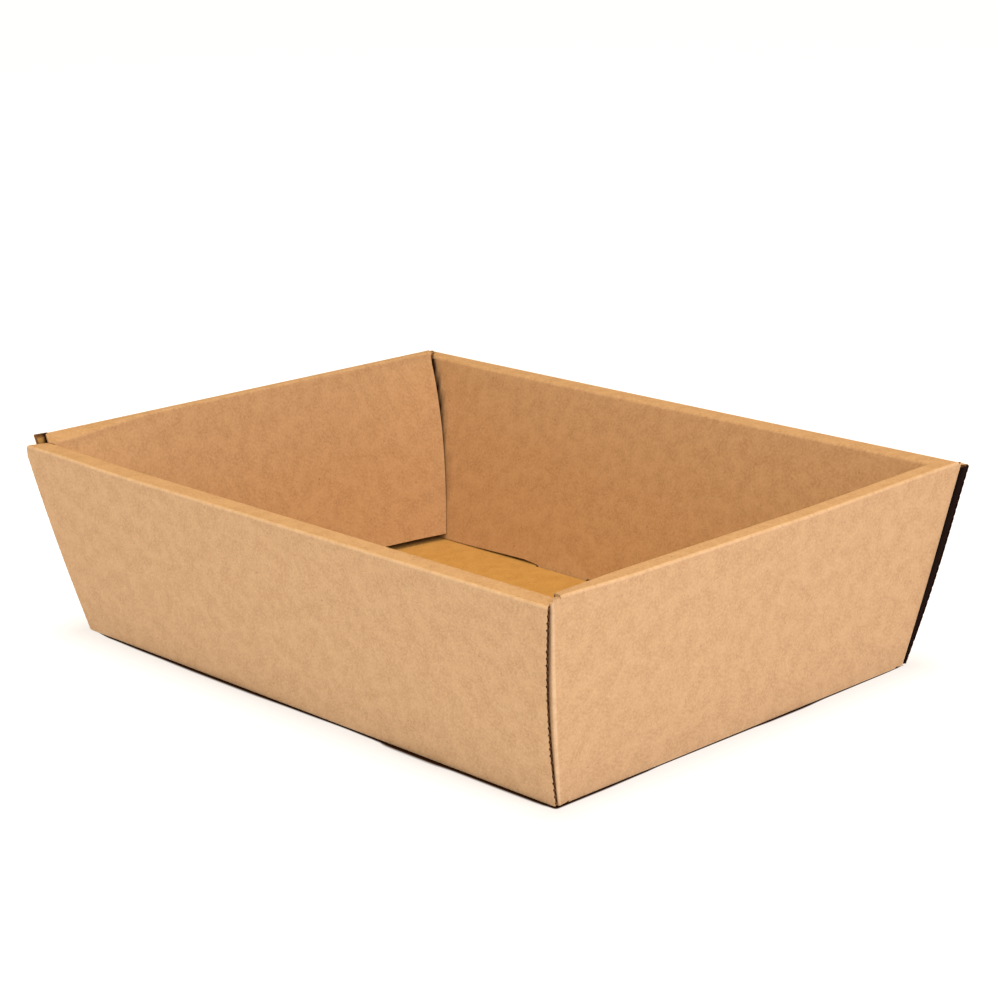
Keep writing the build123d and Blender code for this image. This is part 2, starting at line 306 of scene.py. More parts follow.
def base_point(x, y):
    c = min(BASE_X - abs(x), BASE_Y - abs(y))
    key = ("B", round(x, 3), round(y, 3))
    h = T / 2
    if abs(x) > flat_x - 0.01 and abs(y) > flat_y - 0.01:
        # the corner of the base is cut back inside the fold of the corner flap
        x, y = math.copysign(151.9, x), math.copysign(107.7, y)
    elif abs(x) > flat_x - 0.01:
        h = END[0]["h"]
    elif abs(y) > flat_y - 0.01:
        h = LONG[0]["h"]
    return point(key, (x, y, h), (0, 0, -1), (1, 0, 0), (x, y), max(0.0, c), "base", h)


def in_slot(x, y):
    ax, ay = abs(x), abs(y)
    if slot_ya < ay < slot_yb and slot_x0 < ax < slot_x1:
        return True
    return ay < end_slot_y and end_slot_xa < ax < end_slot_xb


for i in range(len(GX) - 1):
    for j in range(len(GY) - 1):
        if in_slot((GX[i] + GX[i + 1]) / 2, (GY[j] + GY[j + 1]) / 2):
            continue
        cell([base_point(GX[i], GY[j]), base_point(GX[i + 1], GY[j]),
              base_point(GX[i + 1], GY[j + 1]), base_point(GX[i], GY[j + 1])], "base")


def foot_gap(x, sy):
    """How far a long wall's inner panel stands off the base at x."""
    if sy < 0:
        x = -x
    if -67.5 < x < -30.0 or 30.0 < x < 67.5:
        return 0.55
    if x <= -67.5:
        return 0.25 + 1.15 * smooth((x + 128.0) / 60.0)
    if x >= 67.5:
        return 0.35 + 0.75 * smooth((132.0 - x) / 62.0)
    return 0.6 + 0.45 * smooth(1.0 - abs(x) / 28.0)


def long_point(sy, i, j):
    st = LONG[i]
    if i == 0:
        return base_point(XS[j], sy * round(flat_y, 4))
    q = XS[j]
    if st["seg"] in ("bend2", "inner"):
        if abs(abs(q) - slot_x0) < 0.01:
            q = math.copysign(LONG_TAB_X0, q)
        elif abs(abs(q) - slot_x1) < 0.01:
            q = math.copysign(LONG_TAB_X1, q)
    x = stretch(q, half_long(st, 1 if q > 0 else -1, sy), RELIEF_X, 110.0)
    a, z = st["a"], st["z"]
    if st["seg"] == "inner":
        lift = (foot_gap(x, sy) - LONG_FOOT_GAP) * st["f"] ** 6
        z += lift
        a += lift * lean_long_in
    return point(("L", sy, i, j), (x, sy * a, z), (0, sy * st["n"][0], st["n"][1]), (1, 0, 0),
                 (x, sy * st["s"]), st["cd"], "long_" + st["seg"], st["h"], st["pd"])


# points of the back wall's rim at its left end, painted dark as shade in the crevice behind the end wall
crevice = {}
for sy in (1, -1):
    for i, st in enumerate(LONG):
        if st["seg"] in ("strip", "bend2") and sy > 0:
            crevice[long_point(sy, i, 0)] = 0.7
    for i in range(len(LONG) - 1):
        for j in range(len(XS) - 1):
            cell([long_point(sy, i, j), long_point(sy, i, j + 1), long_point(sy, i + 1, j + 1), long_point(sy, i + 1, j)], "long")
    # lock tabs
    last = len(LONG) - 1
    for side in (1, -1):
        cols = [j for j, x in enumerate(XS) if slot_x0 - 0.01 <= side * x <= slot_x1 + 0.01]
        rows = [long_foot_z, 1.35, TAB_END_Z]

        def tab_point(r, j):
            if r == 0:
                return long_point(sy, last, j)
            z = rows[r]
            t = (rows[0] - z) / (rows[0] - rows[-1])
            q = side * XS[j]
            lo, hi = LONG_TAB_X0 + 0.8 * t, LONG_TAB_X1 - 2.5 * t
            x = lo + (q - slot_x0) / (slot_x1 - slot_x0) * (hi - lo)
            st = LONG[last]
            y = long_inner_y(z) - st["n"][0] * T / 2
            return point(("LT", sy, side, r, j), (side * x, sy * y, z), (0, sy * st["n"][0], st["n"][1]), (1, 0, 0),
                         (side * x, sy * (st["s"] + rows[0] - z)), 20.0, "tab")

        for r in range(len(rows) - 1):
            for c in range(len(cols) - 1):
                cell([tab_point(r, cols[c]), tab_point(r, cols[c + 1]), tab_point(r + 1, cols[c + 1]), tab_point(r + 1, cols[c])], "long")


def bow(y, z, sx):
    a = abs(y)
    if a <= BOW_FROM:
        return 0.0
    t = (a - BOW_FROM) / (END_INNER_FOOT_Y - BOW_FROM)
    fade = 1.0 - min(1.0, max(0.0, (z - end_foot_z) / (H_END - 4.0 - end_foot_z))) ** 2.2
    return BOW * t * t * fade * (0.97 if sx < 0 else 0.9)


def end_point(sx, i, j):
    st = END[i]
    if i == 0:
        return base_point(sx * round(flat_x, 4), YS[j])
    q = YS[j]
    if st["seg"] in ("bend2", "inner") and abs(abs(q) - end_slot_y) < 0.01:
        q = math.copysign(END_TAB_Y, q)
    y = stretch(q, half_end(st, sx, 1 if q > 0 else -1), END_CREASE_Y, 70.0)
    a, z = st["a"], st["z"]
    c, pd = st["cd"], st["pd"]
    if st["seg"] == "inner":
        a -= bow(y, z, sx)
    # a pale line along the corner fold, partly the stretched liner and partly a painted highlight
    if st["seg"] == "wall":
        c = min(c, FOLD_Y_BOTTOM + lean_fold * z - abs(y))
        pd = min(pd, c)
    # the flutes follow the section
    return point(("E", sx, i, j), (sx * a, y, z), (sx * st["n"][0], 0, st["n"][1]), (sx * st["d"][0], 0, st["d"][1]),
                 (sx * st["s"], y), c, "end_" + st["seg"], st["h"], pd)


for sx in (1, -1):
    for i in range(len(END) - 1):
        for j in range(len(YS) - 1):
            cell([end_point(sx, i, j), end_point(sx, i, j + 1), end_point(sx, i + 1, j + 1), end_point(sx, i + 1, j)], "end")
    last = len(END) - 1
    cols = [j for j, y in enumerate(YS) if abs(y) <= end_slot_y + 0.01]
    rows = [end_foot_z, 3.1, 1.6, TAB_END_Z]

    def end_tab_point(r, j):
        if r == 0:
            return end_point(sx, last, j)
        z = rows[r]
        t = smooth((3.8 - z) / 3.4)
        half = END_TAB_Y - 2.5 * t
        y = YS[j] / end_slot_y * half
        st = END[last]
        x = end_inner_x(z) - st["n"][0] * T / 2
        return point(("ET", sx, r, j), (sx * x, y, z), (sx * st["n"][0], 0, st["n"][1]), (sx * st["d"][0], 0, st["d"][1]),
                     (sx * (st["s"] + rows[0] - z), y), 20.0, "tab")

    for r in range(len(rows) - 1):
        for c in range(len(cols) - 1):
            cell([end_tab_point(r, cols[c]), end_tab_point(r, cols[c + 1]), end_tab_point(r + 1, cols[c + 1]), end_tab_point(r + 1, cols[c])], "end")

# corner folds and flaps, worked out for the corner at +X +Y and mirrored to the others
alpha, beta = math.atan(lean_end), math.atan(lean_fold)
n_w = Vector((math.cos(alpha), 0, -math.sin(alpha)))
n_l = Vector((0, math.cos(beta), -math.sin(beta)))
d_w = Vector((math.sin(alpha), 0, math.cos(alpha)))
f_dir = Vector((lean_end, lean_fold, 1)).normalized()
e_w = f_dir.cross(n_w).normalized()
if e_w.y > 0:
    e_w = -e_w
e_l = f_dir.cross(n_l).normalized()
if e_l.x > 0:
    e_l = -e_l
theta = math.acos(n_w.dot(n_l))
trim_f = R_FOLD * math.tan(theta / 2)
H_FOLD = (R_FOLD - NIP) / 2
R_MIDF = R_FOLD - H_FOLD
FOLD_STEPS = 7
wall_rows = [i for i, st in enumerate(END) if st["seg"] == "wall"]
z_first, z_last = END[wall_rows[0]]["zo"], FOLD_TOP
extra = [END[wall_rows[-1]]["zo"] * 0.6 + FOLD_TOP * 0.4, FOLD_TOP]
s_first = END[wall_rows[0]]["s"]


def wall_flat(p):
    """Place on the blank of a point on the middle of the end wall at +X."""
    return (s_first + (p.z - END[wall_rows[0]]["z"]) / math.cos(alpha), p.y)


def fold_frame(w):
    z = FOLD_FOOT + w * (FOLD_TOP - FOLD_FOOT)
    corner = Vector((BASE_X + lean_end * z, FOLD_Y_BOTTOM + lean_fold * z, z))
    centre = corner + e_w * trim_f - n_w * R_FOLD
    return centre


ew2 = (e_w.dot(d_w), e_w.y)
f2 = (f_dir.dot(d_w), f_dir.y)
FLAP_COLS = [0.035, 0.10, 0.28, 0.52, 0.76, 1.0]
EAR_COLS = [0.25, 0.5, 0.75]


def flap_limits(x):
    top = FLAP_TOP if x > 124 else FLAP_TOP - 1.5 - (124 - x) * 0.31
    low = FLAP_BOTTOM if x > 124 else FLAP_BOTTOM + 2 + (124 - x) * 0.58
    return low, top


def fold_point(sx, sy, r, q):
    """r counts rows up the end wall, q columns from the end of its strip round the fold."""
    rows_n = len(wall_rows) + len(extra)
    jS = len(YS) - 1 if sy > 0 else 0
    zs = END[wall_rows[r]]["zo"] if r < len(wall_rows) else extra[r - len(wall_rows)]
    w = (zs - z_first) / (z_last - z_first)
    h = T / 2
    if q == 0:
        if r < len(wall_rows):
            return end_point(sx, wall_rows[r], jS)
        y = STRIP_CUT[(sx, sy)][0] + (1.9 if sx < 0 and sy < 0 else 0.35)
        p = Vector((BASE_X + lean_end * zs, y, zs)) - n_w * T / 2
        n, u, uv, c, t = n_w, d_w, wall_flat(p), 5.0, "ear"
    else:
        centre = fold_frame(w)
        a_pt = centre + n_w * (R_FOLD - T / 2)
        a_uv = wall_flat(a_pt)
        k = q - 1 - len(EAR_COLS)
        if k < 0:
            g = EAR_COLS[q - 1]
            s_pt = mid[fold_point(sx, sy, r, 0)]
            s_pt = Vector((abs(s_pt.x), abs(s_pt.y), s_pt.z))
            p = s_pt.lerp(a_pt, g)
            n, u, uv, c, t = n_w, d_w, wall_flat(p), (a_pt - p).length + 0.9, "ear"
        elif k <= FOLD_STEPS:
            ang = theta * k / FOLD_STEPS
            rot = Matrix.Rotation(ang, 3, f_dir)
            if (Matrix.Rotation(0.1, 3, f_dir) @ n_w).dot(n_l) < n_w.dot(n_l):
                rot = Matrix.Rotation(-ang, 3, f_dir)
            n = rot @ n_w
            ek = rot @ e_w
            p = centre + n * R_MIDF
            u = f_dir * d_w.dot(f_dir) + ek * d_w.dot(e_w)
            arc = R_MIDF * ang
            uv = (a_uv[0] - ew2[0] * arc, a_uv[1] - ew2[1] * arc)
            c, t = abs(arc - R_MIDF * theta / 2), "fold"
            h = H_FOLD
        else:
            m = k - FOLD_STEPS - 1
            b_pt = centre + n_l * (R_FOLD - T / 2)
            x = b_pt.x + (FLAP_END_X - b_pt.x) * FLAP_COLS[m]
            low, top = flap_limits(x)
            low_b, top_b = FOLD_FOOT, FOLD_TOP
            g = smooth(FLAP_COLS[m] / 0.035)
            lo, hi = low_b + (low - low_b) * g, top_b + (top - top_b) * g
            z = lo + (hi - lo) * w
            y = FOLD_Y_BOTTOM + lean_fold * z - T / 2 / math.cos(beta)
            p = Vector((x, y, z))
            arc = R_MIDF * theta
            rel = p - b_pt
            b_uv = (a_uv[0] - ew2[0] * arc, a_uv[1] - ew2[1] * arc)
            qf, qe = rel.dot(f_dir), rel.dot(e_l)
            uv = (b_uv[0] + f2[0] * qf - ew2[0] * qe, b_uv[1] + f2[1] * qf - ew2[1] * qe)
            u = f_dir * d_w.dot(f_dir) - e_l * d_w.dot(e_w)
            n, c, t = n_l, qe + 0.9, "flap"
    m3 = Vector((sx, sy, 1))
    return point(("F", sx, sy, r, q), [p[i] * m3[i] for i in range(3)], [n[i] * m3[i] for i in range(3)],
                 [u[i] * m3[i] for i in range(3)], (sx * uv[0], sy * uv[1]), c, t, h)


COLS = 1 + len(EAR_COLS) + FOLD_STEPS + 1 + len(FLAP_COLS)
fold_row = {}         # height of the row that a point of a corner's fold belongs to
for sx in (1, -1):
    for sy in (1, -1):
        for r in range(len(wall_rows) + len(extra) - 1):
            for q in range(COLS - 1):
                for rr in (r, r + 1):
                    zr = END[wall_rows[rr]]["zo"] if rr < len(wall_rows) else extra[rr - len(wall_rows)]
                    fold_row[fold_point(sx, sy, rr, q)] = zr
                cell([fold_point(sx, sy, r, q), fold_point(sx, sy, r, q + 1),
                      fold_point(sx, sy, r + 1, q + 1), fold_point(sx, sy, r + 1, q)], "fold")

# ---------------------------------------------------------------- small warps of the real sheet


def warp(i):
    p, t = mid[i], tag[i]
    x, y, z = p
    u, v = flat[i]
    free = smooth((cd[i] - 1.0) / 14.0)
    # long, shallow waves in each panel
    wave = 0.22 * math.sin(u / 41.0 + 1.3) * math.cos(v / 33.0 + 0.4) + 0.12 * math.sin(u / 17.0 - v / 23.0 + 2.1)
    out = Vector((0, 0, 0))
    if t.startswith("long") or t.startswith("end"):
        out += nrm[i] * wave * free * (0.6 if t.endswith("inner") else 1.0)
    near_rim = smooth((z - 25.0) / 62.0)
    around_end = t.startswith("end") or t in ("ear", "fold", "flap")
    # the left end wall stands higher towards the front, where its rim also falls inwards
    if x < -100 and around_end:
        across = 0.0
        if t == "end_strip":
            across = min(1.0, max(0.0, (TOP_X - 1.0 - abs(x)) / (RIM_END - 2.0)))
        elif t in ("end_bend2", "end_inner"):
            across = 1.0
        front = smooth((-y - 60.0) / 58.0)
        fall = (2.5 * front - 1.3 * (1.0 - front)) * across * smooth((z - 40.0) / 50.0)
        if t != "flap":
            out.z += (1.50 - 1.33 * y / 121.0) * near_rim * smooth((-x - 108.0) / 30.0) - fall
    if x < -145 and y < -100 and t in ("ear", "fold", "flap"):
        # the corner's fold leans in at the top
        lean = smooth((z - 62.0) / 28.0)
        # the flap behind the front panel stays low and turns back to its line
        away = smooth(cd[i] / 24.0) if t == "flap" else 0.0
        out.y += 2.4 * lean * (1.0 - away)
        if t != "flap":
            out.z += 0.9 * lean
    # the front rim stands a little higher at its left end
    if y < -90 and t.startswith("long"):
        out.z += 0.9 * smooth((-x - 95.0) / 60.0) * near_rim
    # the back wall rises towards the right, and the right end wall's far corner with it
    if y > 90 and t.startswith("long"):
        out.z += (1.55 * max(0.0, (x + 155.0) / 325.0) ** 1.2 - 0.25) * near_rim
    if x > 100 and around_end:
        out.z += 1.75 * smooth((y - 10.0) / 118.0) * near_rim
        if t in ("end_wall", "ear", "fold", "flap"):
            out.y += 0.45 * smooth((y - 60.0) / 50.0) * math.sin(math.pi * min(1.0, max(0.0, z / 90.0)))
        if y < 0:
            # its near corner: the rim tips inwards, and the fold bends in a little half way up
            tip = smooth((-y - 82.0) / 38.0) * smooth((z - 60.0) / 30.0)
            if t in ("end_bend2", "end_inner"):
                out.z -= 0.7 * tip
            elif t == "end_strip":
                g = min(1.0, max(0.0, (TOP_X - 1.0 - x) / (RIM_END - 2.0)))
                out.z += (1.0 - 1.7 * g) * tip
            elif t in ("end_wall", "end_bend1"):
                out.z += 1.0 * tip
            if t in ("ear", "fold", "flap"):
                out.y -= 0.5 * math.sin(math.pi * min(1.0, max(0.0, z / 88.0)))
            if t == "ear":
                # it reaches up to the strip above it
                out.z += 1.3 * smooth((z - 78.0) / 12.0) * smooth((126.5 + y) / 3.5)
    # the back wall's inner panel stands off the corner at its left end
    if y > 90 and t in ("long_bend2", "long_inner", "long_strip"):
        part = 1.0 if t != "long_strip" else min(1.0, max(0.0, (TOP_Y - 1.0 - y) / (RIM_LONG - 2.0)))
        out.y += 1.3 * part * smooth((-x - 120.0) / 40.0) * smooth((z - 30.0) / 55.0)
    return out


shift = [warp(i) for i in range(len(mid))]
for i, d in enumerate(shift):
    mid[i] = mid[i] + d

# ---------------------------------------------------------------- boundary loops
directed = {}
for c, (ids, t) in enumerate(cells):
    for k, a in enumerate(ids):
        b = ids[(k + 1) % len(ids)]
        directed[(a, b)] = c
border = {}
for (a, b) in directed:
    if (b, a) not in directed:
        border[a] = b
loops, seen = [], set()
for a in list(border):
    if a in seen:
        continue
    ring = [a]
    seen.add(a)
    b = border[a]
    while b != a:
        if b in seen:
            raise SystemExit("the sheet's outline crosses itself at %s %s" % (tag[b], tuple(mid[b])))
        ring.append(b)
        seen.add(b)
        b = border[b]
    loops.append(ring)

rng = random.Random(11)
# the third list holds each vertex's painted shade, painted light where it is below 0
verts, crease_of, painted_shade_of = [], [], []   # final vertices


def crevice_painted_shade(i):
    """Painted shade: the long walls' inner panels are painted dark where they pass behind the end walls' panels."""
    x, y, z = mid[i]
    if tag[i] != "long_inner" or abs(x) < 130:
        return crevice.get(i, 0.0)
    edge_y = END_INNER_FOOT_Y + (z - end_foot_z) * (117.3 - END_INNER_FOOT_Y) / (H_END - end_foot_z)
    edge_x = end_inner_x(z) - bow(edge_y, z, -1) + 1.5
    depth = (0.30 + 0.60 * smooth((z - 35.0) / 35.0)) * smooth((z - 2.0) / 30.0)
    return depth * smooth((abs(x) - edge_x + 2.1) / 1.7)


faces, face_uv, face_kind = [], [], []


def vert(p, c, d=0.0):
    verts.append(p * 0.001)
    crease_of.append(c)
    painted_shade_of.append(d)
    return len(verts) - 1


def layer_painted_shade_and_light(i):
    """Painted shade on the sheet's inner side: 1 between the two layers of a wall, 0 in the open; below 0 it is
    painted light, as pale as the outer side.
    """
    t, (x, y, z) = tag[i], mid[i]
    if t.startswith("long"):
        return 1.0 if x > 0 and y > 0 else 0.85
    # below 0: painted light, the inner side painted as pale as the outer at the right-hand corners
    if x > 0 and y < 0 and t.startswith("end") and abs(y) > 112.0 and z > 84.0:
        return -0.8
    if x < 0 and y < 0 and t in ("ear", "fold"):
        top = smooth((fold_row.get(i, 0.0) - FOLD_TOP + 2.0) / 0.8)
        return max(0.75 * top, smooth((119.7 - abs(y)) / 1.2))
    if x > 0 and (t in ("ear", "fold", "flap") or (t.startswith("end") and abs(y) > 116.5)):
        return -0.8
    if t.startswith("end"):
        return 0.85 * smooth((120.2 - abs(y)) / 1.2)
    # painted shade on the tray's floor beside the inner panels' feet
    if t == "base":
        return 0.6 * max(smooth((abs(y) - 100.8) / 1.5), smooth((abs(x) - 144.0) / 3.0))
    return 0.0


def edge_painted_shade(i):
    """Painted shade in a raw edge: outer liner, upper and lower half of the medium, inner liner."""
    t, (x, y, z) = tag[i], mid[i]
    if t in ("long_wall", "long_bend0", "long_bend1"):
        low = smooth((z - 2.0) / 14.0)
        if x > 0 and y > 0:
            return (0.85, 1.0, 1.0, 1.0)
        return (0.10, 0.3 + 0.25 * low, 0.55 + 0.25 * low, 0.6 + 0.25 * low)
    if t in ("long_strip", "long_bend2"):
        return (0.3, 0.5, 0.6, 0.7)
    if t in ("end_strip", "end_bend1", "end_bend2"):
        return (0.0, 0.0, 0.0, 0.1)
    if t in ("ear", "fold"):
        if x > 0 and y < 0:
            return (0.0, 0.0, 0.0, 0.05)
        return (0.10, 0.22, 0.22, 0.10) if x > 0 else (0.35, 0.6, 0.6, 0.3)
    if t.endswith("inner"):
        return (0.1, 0.35, 0.6, 0.8)
    if t == "base":
        return (0.5, 0.6, 0.5, 0.25)
    return (0.2, 0.4, 0.5, 0.5)


top_v = [None] * len(mid)     # vertices on the side the normals point to
low_v = [None] * len(mid)
extra_points = {}             # boundary edge -> its columns in between


def hash01(*k):
    h = 2166136261
    for x in k:
        h = ((h ^ (int(x) & 0xFFFFFFFF)) * 16777619) & 0xFFFFFFFF
        h = (h ^ (h >> 13)) * 0x5BD1E995 & 0xFFFFFFFF
    return ((h ^ (h >> 15)) & 0xFFFFFF) / float(0xFFFFFF)


def face(ids, kind, uvs):
    clean, cuv = [], []
    for k, v in enumerate(ids):
        if v != ids[k - 1]:
            clean.append(v)
            cuv.append(uvs[k])
    if len(clean) < 3:
        return
    faces.append(clean)
    face_uv.append(cuv)
    face_kind.append(kind)


def edge_type(a, b):
    if tag[a] in ("flap", "ear", "fold") or tag[b] in ("flap", "ear", "fold"):
        return "plain"
    if tag[a] in PRESSED and tag[b] in PRESSED:
        return "plain"
    if cd[a] < 1.5 and cd[b] < 1.5:
        return "plain"
    du, dv = abs(flat[a][0] - flat[b][0]), abs(flat[a][1] - flat[b][1])
    return "open" if dv > du else "closed"


WAVE = 0.125
PRESSED = ("end_strip", "end_bend1", "end_bend2")     # cut ends that are pressed shut

for li, ring in enumerate(loops):
    n = len(ring)
    types = [edge_type(ring[k], ring[(k + 1) % n]) for k in range(n)]
    cols = []      # each: P, N, U, flat, inward, type of the column
    pair = []      # type of the stretch after each column
    for k in range(n):
        a, b, z0 = ring[k], ring[(k + 1) % n], ring[k - 1]
        e1 = (mid[b] - mid[a]).normalized()
        e0 = (mid[a] - mid[z0]).normalized()
        i1 = nrm[a].cross(e1).normalized()
        i0 = nrm[a].cross(e0).normalized()
        inward = i0 + i1
        if inward.length < 0.3:
            inward = i1.copy()
        else:
            inward = inward.normalized() * min(1.4, 1.0 / max(0.5, math.sqrt((1 + i0.dot(i1)) / 2)))
        kind = types[k] if (types[k] == types[k - 1] and types[k] != "plain" and e0.dot(e1) > 0.94) else "neutral"
        cols.append([mid[a], nrm[a], flu[a], flat[a], inward, kind, a, paint[a], half[a], edge_painted_shade(a), layer_painted_shade_and_light(a),
                     crevice_painted_shade(a)])
        pair.append(types[k])
        fine = []
        if types[k] == "open":
            va, vb = flat[a][1], flat[b][1]
            step = FLUTE / FLUTE_STEPS
            lo, hi = min(va, vb), max(va, vb)
            m = int(math.ceil(lo / step))
            while m * step < hi:
                g = (m * step - va) / (vb - va)
                if 0.05 / max(0.06, hi - lo) < g < 1 - 0.05 / max(0.06, hi - lo):
                    fine.append((g, m))
                m += 1
            fine.sort()
        elif types[k] == "closed":
            length = (mid[b] - mid[a]).length
            m = int(math.ceil(length / 2.4))
            fine = [(g / m, None) for g in range(1, m)]
        for g, m in fine:
            p = mid[a].lerp(mid[b], g)
            uv = (flat[a][0] + (flat[b][0] - flat[a][0]) * g, flat[a][1] + (flat[b][1] - flat[a][1]) * g)
            da, db = edge_painted_shade(a), edge_painted_shade(b)
            cols.append([p, nrm[a].lerp(nrm[b], g).normalized(), flu[a].lerp(flu[b], g).normalized(), uv, i1, types[k], (a, b),
                         paint[a] + (paint[b] - paint[a]) * g, half[a] + (half[b] - half[a]) * g,
                         tuple(da[q] + (db[q] - da[q]) * g for q in range(4)),
                         layer_painted_shade_and_light(a) + (layer_painted_shade_and_light(b) - layer_painted_shade_and_light(a)) * g,
                         crevice_painted_shade(a) + (crevice_painted_shade(b) - crevice_painted_shade(a)) * g])
            pair.append(types[k])
    m = len(cols)
    L0, L1, X1, X2, L4, L5 = [], [], [], [], [], []
    run = 0.0
    along = []
    for k in range(m):
        P, N, U, uv, inw, kind, owner, c, hh, dk, ind, front = cols[k]
        thin = hh / (T / 2)
        inn = hh - LINER * thin
        wav = WAVE * thin
        amp = inn - wav + 0.01 * thin
        along.append(run)
        run += (cols[(k + 1) % m][0] - P).length
        rag = (hash01(li, k, 3) - 0.5) * 0.07 if kind != "neutral" else 0.0
        # the outer liner is nicked between the flutes where a wall's end was torn in cutting
        nick = 0.0
        if kind == "open" and tag[owner[0] if isinstance(owner, tuple) else owner] == "long_wall":
            wave_at = math.cos(2 * math.pi * uv[1] / FLUTE)
            nick = (0.6 if P.x > 0 and P.y < 0 else 0.25) * max(0.0, -wave_at) ** 1.5 * (0.25 + 0.75 * hash01(li, int(math.floor(uv[1] / FLUTE)), 29))
        a0 = vert(P + N * hh + inw * (CHAMFER + nick + 0.03 * hash01(li, k, 5)), c, front)
        a5 = vert(P - N * hh + inw * (CHAMFER + 0.03 * hash01(li, k, 7)), c, ind)
        a1 = vert(P + N * inn + inw * (rag + nick * 0.9), c, dk[0])
        a4 = vert(P - N * inn + inw * rag, c, dk[3])
        x1, x2 = a1, a4
        if kind == "closed":
            g = 0.22 + 0.16 * math.sin(along[-1] / 5.3 + li) + 0.14 * hash01(li, k, 9)
            x1 = vert(P + N * (inn - 0.10 * thin) + inw * g, c, dk[1])
            x2 = vert(P - N * (inn - 0.10 * thin) + inw * g, c, dk[2])
        elif kind == "open":
            ph = uv[1] / FLUTE
            # the wave of the medium, a little different from flute to flute
            mm = amp * math.cos(2 * math.pi * ph)
            up, low = inn - (mm + wav), (mm - wav) + inn
            squeeze_up = 1 - 0.3 * hash01(li, int(math.floor(ph)), 13)
            squeeze_low = 1 - 0.3 * hash01(li, int(math.floor(ph + 0.5)), 17)
            back = 0.04 + 0.05 * hash01(li, k, 19)
            if up > 0.02:
                x1 = vert(P + N * (inn - up * squeeze_up) + inw * back, c, dk[1])
            if low > 0.02:
                x2 = vert(P - N * (inn - low * squeeze_low) + inw * back, c, dk[2])
        L0.append(a0), L1.append(a1), X1.append(x1), X2.append(x2), L4.append(a4), L5.append(a5)
        if isinstance(owner, tuple):
            extra_points.setdefault(owner, []).append((a0, a5, uv))
        else:
            top_v[owner], low_v[owner] = a0, a5

    def strip(k, A, B, va, vb, kind):
        j = (k + 1) % m
        la, lb = along[k], along[k] + (cols[j][0] - cols[k][0]).length
        face([A[j], A[k], B[k], B[j]], kind, [(lb, va), (la, va), (la, vb), (lb, vb)])

    for k in range(m):
        strip(k, L0, L1, 0.75, 0.5, "cut")
        shut = cols[k][9][1] == 0.0 and cols[(k + 1) % m][9][1] == 0.0
        strip(k, X1, X2, 0.4, -0.4, "cut" if shut else "medium")
        strip(k, L4, L5, -0.5, -0.75, "cut")
        if pair[k] == "closed":
            strip(k, L1, X1, 0.5, 0.4, "cut")
            strip(k, X2, L4, -0.4, -0.5, "cut")
    # the open ends of the flutes, as pockets that run into the board
    k = 0
    start = next((q for q in range(m) if pair[q - 1] != "open"), 0)
    order = [(start + q) % m for q in range(m)]
    for A, B, side in ((L1, X1, 0), (X2, L4, 1)):
        q = 0
        while q < m:
            if pair[order[q]] != "open":
                q += 1
                continue
            if A[order[q]] != B[order[q]]:
                q += 1
                continue
            e = q + 1
            while e < m and A[order[e]] != B[order[e]]:
                e += 1
            if e >= m or e - q < 2:
                q = e if e > q else q + 1
                continue
            depth = 2.6 + 2.4 * hash01(li, q, 23 + side)
            roof, floor_ = [], []
            for w in range(q, e + 1):
                P, N, U, uv, inw, kind, owner, c, hh, dk, ind, front = cols[order[w]]
                into = U if U.dot(cols[order[(q + e) // 2]][4]) > 0 else -U
                # the pockets' walls are painted fully dark, as painted shade inside the flutes
                r = vert(verts[A[order[w]]] * 1000 + into * depth, c, 1.0)
                if w in (q, e):
                    f = r
                else:
                    f = vert(verts[B[order[w]]] * 1000 + into * depth, c, 1.0)
                roof.append(r), floor_.append(f)
            for w in range(e - q):
                a, b = order[q + w], order[q + w + 1]
                ra, rb, fa, fb = roof[w], roof[w + 1], floor_[w], floor_[w + 1]
                la, lb = along[a], along[a] + FLUTE / FLUTE_STEPS
                face([A[b], A[a], ra, rb], "pocket", [(lb, 1), (la, 1), (la, 1 + depth), (lb, 1 + depth)])
                face([B[a], B[b], fb, fa], "pocket", [(la, 6), (lb, 6), (lb, 6 + depth), (la, 6 + depth)])
                face([rb, ra, fa, fb], "pocket", [(lb, 12), (la, 12), (la, 13), (lb, 13)])
            q = e

for i in range(len(mid)):
    if top_v[i] is None:
        top_v[i] = vert(mid[i] + nrm[i] * half[i], paint[i], crevice_painted_shade(i))
        low_v[i] = vert(mid[i] - nrm[i] * half[i], paint[i], layer_painted_shade_and_light(i))

for ids, t in cells:
    top_ids, low_ids, uvs = [], [], []
    for k, a in enumerate(ids):
        b = ids[(k + 1) % len(ids)]
        top_ids.append(top_v[a]), low_ids.append(low_v[a]), uvs.append(flat[a])
        for p0, p5, uv in extra_points.get((a, b), []):
            top_ids.append(p0), low_ids.append(p5), uvs.append(uv)
    face(top_ids, "outside", uvs)
    face(low_ids[::-1], "inside", uvs[::-1])

